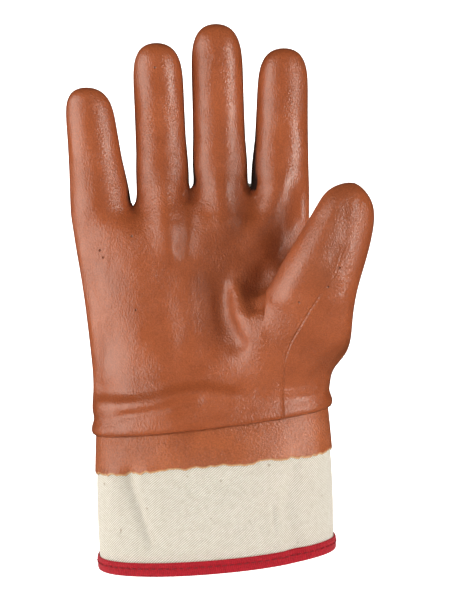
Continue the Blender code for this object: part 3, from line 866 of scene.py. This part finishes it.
# One ring of the cuff at this level, this far outside the canvas
def cuffPoints(out, level):
    turn = np.arange(cuff["around"]) * math.tau / cuff["around"]
    power = 2.0 / cuff["square"]
    across = np.sign(np.cos(turn)) * np.abs(np.cos(turn)) ** power
    back = np.sign(np.sin(turn)) * np.abs(np.sin(turn)) ** power
    x = cuff["width"] / 2 * across
    y = cuff["depth"] / 2 * back
    z = level(x, y) + np.zeros(len(turn))
    up = (z - mouthHeight(x, y)) / (hemHeight(x, y) - mouthHeight(x, y))
    half = (cuff["width"] - cuff["taper"] * up) / 2
    deep = (cuff["depth"] - cuff["taper"] * up) / 2
    grown = cuff["belly"] * np.sin(math.pi * clamped(up)) + out
    x = cuff["shift"] * up + (half + grown) * across
    y = (deep + grown) * back
    free = clamped(1 - up) ** cuffGive["power"]
    rise = sum(size / 1000.0 * free * np.sin(count * turn + phase) for count, phase, size in cuffWaves)
    front = clamped(-y / cuffGive["front"]) * clamped(cuffGive["reach"] * free)
    rise = rise + front * foldRise(np.stack([x, z], 1), cuffDents)
    outward = np.stack([x / half ** 2, y / deep ** 2], 1)
    outward *= (rise / norm(outward, axis=1))[:, None]
    return np.stack([x + outward[:, 0], y + outward[:, 1], z], 1)


def above(level, rise):
    return lambda x, y: level(x, y) + rise


def between(low, high, share):
    return lambda x, y: low(x, y) + share * (high(x, y) - low(x, y))


# A closed band of rings, in order round its section, with a map in metres
def sweepCloth(name, rings, *materials):
    count = cuff["around"]
    rings = np.array(rings)
    alongs = norm(np.diff(rings, axis=0), axis=2).mean(axis=1)
    heights = runningSums(np.append(alongs, norm(rings[0] - rings[-1], axis=1).mean()))
    middle = rings[len(rings) // 4]
    around = norm(np.roll(middle, -1, 0) - middle, axis=1)
    arounds = runningSums(around)
    corners = []
    places = []
    for ring in range(len(rings)):
        near, over = ring * count, (ring + 1) % len(rings) * count
        low, high = heights[ring], heights[ring + 1]
        for column in range(count):
            far = (column + 1) % count
            left, right = arounds[column], arounds[column + 1]
            corners.append((near + column, near + far, over + far, over + column))
            places += [(left, low), (right, low), (right, high), (left, high)]
    mesh = bpy.data.meshes.new(name)
    mesh.from_pydata(rings.reshape(-1, 3).tolist(), [], corners)
    layer = mesh.uv_layers.new(name="cloth")
    layer.data.foreach_set("uv", np.array(places, dtype=np.float32).ravel())
    mesh.validate()
    bm = bmesh.new()
    bm.from_mesh(mesh)
    bmesh.ops.recalc_face_normals(bm, faces=bm.faces)
    finishedShape(bm, mesh).shade_smooth()
    return addPiece(name, mesh, *materials)


# Waves in the cloth's map, along the direction (across, along)
def waveNode(tree, vector, across, along, pitch):
    length = math.hypot(across, along)
    inputs = {0: vector, 1: (across / length, along / length, 0.0)}
    reach = addNode(tree, "ShaderNodeVectorMath", inputs, operation="DOT_PRODUCT").outputs["Value"]
    turns = mathNode(tree, "MULTIPLY", reach, math.tau / pitch)
    return mathNode(tree, "MULTIPLY_ADD", mathNode(tree, "SINE", turns), 0.5, 0.5)


twillLook = {
    # painted shade in the grooves between the twill's ribs
    "grooveShade": (0.60, 0.545, 0.44),
    "yarn": (0.99, 0.975, 0.905),
    "pitch": 0.00088,  # across the diagonal ribs
    "lean": 38.0,  # degrees, rising to the right
    "threads": 0.00052,
    "wobble": 0.0006,  # how far the threads stray
    "slubs": 420.0,  # thicker places a metre
    "slubShade": (0.93, 0.92, 0.90),
    "specks": 260.0,
    "speck": (0.46, 0.38, 0.27),
}
wobbleNoise = 190.0  # turns a metre of the threads' straying


def clothMap(tree, wobble):
    place = addNode(tree, "ShaderNodeUVMap", uv_map="cloth").outputs["UV"]
    noise = addNode(tree, "ShaderNodeTexNoise", {"Vector": place, "Scale": wobbleNoise})
    inputs = {0: noise.outputs["Color"], 1: (wobble, wobble, 0.0), 2: place}
    return addNode(tree, "ShaderNodeVectorMath", inputs, operation="MULTIPLY_ADD").outputs["Vector"]


def twillMaterial():
    material, tree, shader = newMaterial("creamTwill")
    place = clothMap(tree, twillLook["wobble"])
    lean = math.radians(twillLook["lean"])
    ribs = waveNode(tree, place, -math.sin(lean), math.cos(lean), twillLook["pitch"])
    threads = waveNode(tree, place, math.cos(lean), math.sin(lean), twillLook["threads"])
    weave = mathNode(tree, "MULTIPLY", ribs, rangeNode(tree, threads, 0.0, 1.0, 0.7, 1.0))
    body = bodyPlace(tree)
    slub = noiseNode(tree, body, twillLook["slubs"], 3.0)
    raised = rangeNode(tree, weave, 0.05, 0.75)
    # The grooves between the ribs get a darker colour: painted shade
    colour = mixColours(tree, raised, twillLook["grooveShade"], twillLook["yarn"])
    shade = rampNode(tree, slub, [(0.3, twillLook["slubShade"]), (0.6, (1.0, 1.0, 1.0))])
    colour = mixColours(tree, 1.0, colour, shade, "MULTIPLY")
    spots = rangeNode(tree, noiseNode(tree, body, twillLook["specks"], 1.0), 0.74, 0.80, 0.0, 0.7)
    normal = bumpNode(tree, slub, 0.4, 0.0003, bumpNode(tree, weave, 0.8, 0.00030))
    setInputs(tree, shader, {
        "Base Color": mixColours(tree, spots, colour, twillLook["speck"]),
        "Roughness": 0.95,
        "Normal": normal,
        "Specular IOR Level": 0.15,
        "Sheen Weight": 0.12,
        "Sheen Roughness": 0.6,
    })
    return material


tapeLook = {
    "red": (0.62, 0.008, 0.025),
    "shade": (0.33, 0.005, 0.015),
    "rib": 0.00095,
    "thread": (0.25, 0.005, 0.013),
    "wobble": 0.0004,
    "flecks": 700.0,
    "strands": 1500.0,
    "stitch": {"Pitch": 0.0034, "Length": 0.0026, "Width": 0.00075},
    "stitchDown": 0.0027,  # from the tape's upper edge
    "section": (0.45, 0.9, 1.0, 0.97, 0.75, 0.97, 1.0, 1.0),  # thickness from the free edge to the fold
}


def tapeMaterial():
    material, tree, shader = newMaterial("redTape")
    place = clothMap(tree, tapeLook["wobble"])
    ribs = waveNode(tree, place, 1.0, 0.25, tapeLook["rib"])
    picks = waveNode(tree, place, 0.0, 1.0, tapeLook["rib"] * 0.8)
    weave = mathNode(tree, "MULTIPLY", ribs, rangeNode(tree, picks, 0.0, 1.0, 0.5, 1.0))
    fleck = rangeNode(tree, noiseNode(tree, bodyPlace(tree), tapeLook["flecks"]), 0.3, 0.7, 0.0, 0.45)
    share = mathNode(tree, "MULTIPLY_ADD", weave, 0.55, fleck)
    setInputs(tree, shader, {
        "Base Color": mixColours(tree, share, tapeLook["shade"], tapeLook["red"]),
        "Roughness": 0.75,
        "Normal": bumpNode(tree, share, 0.8, 0.00035),
        "Specular IOR Level": 0.3,
        "Sheen Weight": 0.10,
    })
    return material


def threadMaterial():
    material, tree, shader = newMaterial("redThread")
    strand = noiseNode(tree, bodyPlace(tree), tapeLook["strands"])
    colour = mixColours(tree, strand, tapeLook["thread"], tapeLook["shade"])
    normal = bumpNode(tree, strand, 0.5, 0.0001)
    setInputs(tree, shader, {"Base Color": colour, "Roughness": 0.7, "Normal": normal})
    return material


# Stitches along a curve
def stitchTree(material):
    tree = bpy.data.node_groups.new("stitchRow", "GeometryNodeTree")
    tree.interface.new_socket("Geometry", in_out="INPUT", socket_type="NodeSocketGeometry")
    for name in tapeLook["stitch"]:
        tree.interface.new_socket(name, in_out="INPUT", socket_type="NodeSocketFloat")
    tree.interface.new_socket("Geometry", in_out="OUTPUT", socket_type="NodeSocketGeometry")
    start = addNode(tree, "NodeGroupInput").outputs
    spaced = {"Curve": start["Geometry"], "Length": start["Pitch"]}
    row = addNode(tree, "GeometryNodeResampleCurve", spaced, mode="LENGTH")
    thread = addNode(tree, "GeometryNodeMeshUVSphere", {"Segments": 8, "Rings": 6, "Radius": 0.5})
    sides = {"X": start["Width"], "Y": start["Width"], "Z": start["Length"]}
    size = addNode(tree, "ShaderNodeCombineXYZ", sides)
    along = addNode(tree, "GeometryNodeInputTangent").outputs["Tangent"]
    turn = addNode(tree, "FunctionNodeAlignRotationToVector", {"Vector": along}, axis="Z")
    place = addNode(tree, "GeometryNodeInstanceOnPoints", {
        "Points": row.outputs["Curve"],
        "Instance": thread.outputs["Mesh"],
        "Rotation": turn.outputs["Rotation"],
        "Scale": size.outputs["Vector"],
    })
    real = addNode(tree, "GeometryNodeRealizeInstances", {"Geometry": place.outputs["Instances"]})
    dressed = {"Geometry": real.outputs["Geometry"], "Material": material}
    finish = addNode(tree, "GeometryNodeSetMaterial", dressed)
    addNode(tree, "NodeGroupOutput", {"Geometry": finish.outputs["Geometry"]})
    return tree


def stitchRow(name, points, tree, material):
    curve = bpy.data.curves.new(name, "CURVE")
    curve.dimensions = "3D"
    line = curve.splines.new("POLY")
    line.points.add(len(points) - 1)
    line.points.foreach_set("co", np.column_stack([points, np.ones(len(points))]).ravel())
    line.use_cyclic_u = True
    holder = addThing("holder", curve)
    maker = holder.modifiers.new("stitches", "NODES")
    maker.node_group = tree
    sizes = tapeLook["stitch"]
    for item in tree.interface.items_tree:
        if item.in_out == "INPUT" and item.name in sizes:
            maker[item.identifier] = sizes[item.name]
    mesh = finishedMesh(holder)
    bpy.data.objects.remove(holder, do_unlink=True)
    mesh.shade_smooth()
    row = addPiece(name, mesh, material)
    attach(row, "root")
    return row


# How far the coated edge strays up or down at each column
def raggedness():
    random = np.random.default_rng(coatedEdge["seed"])
    turn = np.arange(cuff["around"]) / cuff["around"]
    total = np.zeros(len(turn))
    for count, size in coatedEdge["steps"]:
        knots = random.uniform(-1, 1, count)
        total += size / 1000.0 * np.interp(turn * count, np.arange(count + 1), np.append(knots, knots[0]))
    return total


def buildCanvas():
    top = above(hemHeight, cuff["seamAllowance"])
    levels = [between(mouthHeight, top, share) for share in np.linspace(0, 1, clothRings["canvas"])]
    outside = [cuffPoints(0.0, level) for level in levels]
    inside = [cuffPoints(-cuff["canvas"], level) for level in reversed(levels)]
    canvas = sweepCloth("cuff_twill", outside + inside, twillMaterial())
    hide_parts("cuff_canvas")
    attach(canvas, "root")


def buildFilm():
    gap = cuff["seatGap"]
    top = above(hemHeight, cuff["seamAllowance"])
    shares = np.linspace(0, 1, clothRings["film"]) ** coatedEdge["closer"]
    stray = raggedness()
    outer, inner = [], []
    for share in shares:
        level = between(edgeHeight, top, share)
        thick = cuff["coating"] * min(1.0, coatedEdge["thin"] + coatedEdge["thicker"] * share)
        ragged = np.array([0, 0, 1]) * stray[:, None] * max(0.0, 1 - coatedEdge["stray"] * share)
        outer.append(cuffPoints(gap + thick, level) + ragged)
        inner.append(cuffPoints(coatedEdge["seat"] * gap, level) + ragged)
    material = coatingMaterial("dippedFilm", filmLook, (), coatedEdge["rim"])
    film = sweepCloth("cuff_film", outer + inner[::-1], material)
    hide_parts("cuff_coating")
    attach(film, "root")


def buildTape():
    tape, gap = cuff["tape"], cuff["seatGap"]
    near, far = gap, -cuff["canvas"] - gap
    reach = cuff["tapeHeight"]
    radius = (near - far) / 2 + tape
    middle = (near + far) / 2
    legs = [above(mouthHeight, rise) for rise in np.linspace(reach, 0, clothRings["leg"])[:-1]]
    soft = [share * tape for share in tapeLook["section"]]
    rings = [cuffPoints(near + thick, level) for thick, level in zip(soft, legs)]
    for bend in np.linspace(0, math.pi, clothRings["fold"]):
        fold = above(mouthHeight, -gap - tape * math.sin(bend))
        rings.append(cuffPoints(middle + radius * math.cos(bend), fold))
    rings += [cuffPoints(far - thick, level) for thick, level in zip(soft[::-1], legs[::-1])]
    low = above(mouthHeight, -gap)
    rings += [cuffPoints(*corner) for corner in ((far, legs[0]), (far, low), (near, low), (near, legs[0]))]
    binding = sweepCloth("cuff_tape", rings, tapeMaterial())
    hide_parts("cuff_binding")
    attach(binding, "root")
    thread = threadMaterial()
    tree = stitchTree(thread)
    level = above(mouthHeight, reach - tapeLook["stitchDown"])
    stitchRow("stitches_outside", cuffPoints(near + tape, level), tree, thread)
    stitchRow("stitches_inside", cuffPoints(far - tape, level), tree, thread)


buildCanvas()
buildFilm()
buildTape()
print("cuff: canvas, film, tape and stitches")


# Studio
studio = {
    "camera": (0.0044, -0.70, 0.124),
    "lens": 85.5,
    "floor": -0.25,
    "backdrop": dict(back=1.6, front=-2.5, half=3.0, height=2.6, radius=0.5, steps=12),
    "room": 0.19,
    "floorGlow": 0.6,  # its own light, seen by the camera only
    "tint": (1.0, 0.94, 0.865),  # of the two boxes
    "lights": [  # name, place, what it points at, size, watts
        ("leftBox", (-0.98, -0.36, 0.16), (0, 0, 0.13), (1.1, 1.3), 12.6),
        ("rightBox", (0.84, -0.56, 0.14), (0, 0, 0.13), (0.32, 1.0), 7.2),
        ("frontFill", (0.1, -1.7, 0.7), (0, 0, 0.13), (1.2, 0.9), 4.2),
        ("backLight", (0.0, 0.60, 0.98), (0, 1.6, 0.16), (2.6, 0.6), 26.0),
    ],
}


def cameraShare(tree, seen, lighting):
    ray = addNode(tree, "ShaderNodeLightPath").outputs["Is Camera Ray"]
    return mathNode(tree, "MULTIPLY_ADD", ray, seen - lighting, lighting)


def floorMaterial():
    material, tree, shader = newMaterial("paleFloor")
    setInputs(tree, shader, {
        "Base Color": (0.95, 0.95, 0.95, 1.0),
        "Roughness": 0.9,
        "Emission Color": (1.0, 1.0, 1.0, 1.0),
        "Emission Strength": cameraShare(tree, studio["floorGlow"], 0.0),
    })
    return material


def buildBackdrop():
    sizes = studio["backdrop"]
    depth, radius, half, steps = sizes["back"], sizes["radius"], sizes["half"], sizes["steps"]
    turns = [math.pi / 2 * step / steps for step in range(1, steps + 1)]
    curve = [(sizes["front"], 0.0), (depth - radius, 0.0)]
    curve += [(depth - radius + radius * math.sin(turn), radius * (1 - math.cos(turn))) for turn in turns]
    curve.append((depth, sizes["height"]))
    bm = bmesh.new()
    left, right = (addVerts(bm, [(x, y, studio["floor"] + z) for y, z in curve]) for x in (-half, half))
    for step in range(len(curve) - 1):
        bm.faces.new((left[step], right[step], right[step + 1], left[step + 1]))
    mesh = finishedShape(bm, bpy.data.meshes.new("floor"))
    mesh.shade_smooth()
    floor = addPiece("floor", mesh, floorMaterial())
    floor.visible_glossy = False


def buildStudio():
    camera = addThing("camera", bpy.data.cameras.new("camera"))
    camera.data.lens = studio["lens"]
    camera.location = studio["camera"]
    camera.rotation_euler = (math.pi / 2, 0, 0)
    scene.camera = camera
    buildBackdrop()
    for name, place, target, size, power in studio["lights"]:
        data = bpy.data.lights.new(name, "AREA")
        data.shape = "RECTANGLE"
        data.size, data.size_y = size
        data.energy = power
        data.color = studio["tint"] if name.endswith("Box") else (1, 1, 1)
        lamp = addThing(name, data)
        lamp.visible_glossy = name.endswith("Box")
        lamp.location = place
        lamp.rotation_euler = (Vector(target) - Vector(place)).to_track_quat("-Z", "Y").to_euler()
    world = bpy.data.worlds.new("room")
    world.use_nodes = True
    tree = world.node_tree
    strength = cameraShare(tree, 1.0, studio["room"])
    setInputs(tree, tree.nodes["Background"], {"Color": (1, 1, 1, 1), "Strength": strength})
    world.cycles_visibility.glossy = False
    scene.world = world
    scene.view_settings.view_transform = "Standard"


buildStudio()
print("studio: camera, floor and lights")
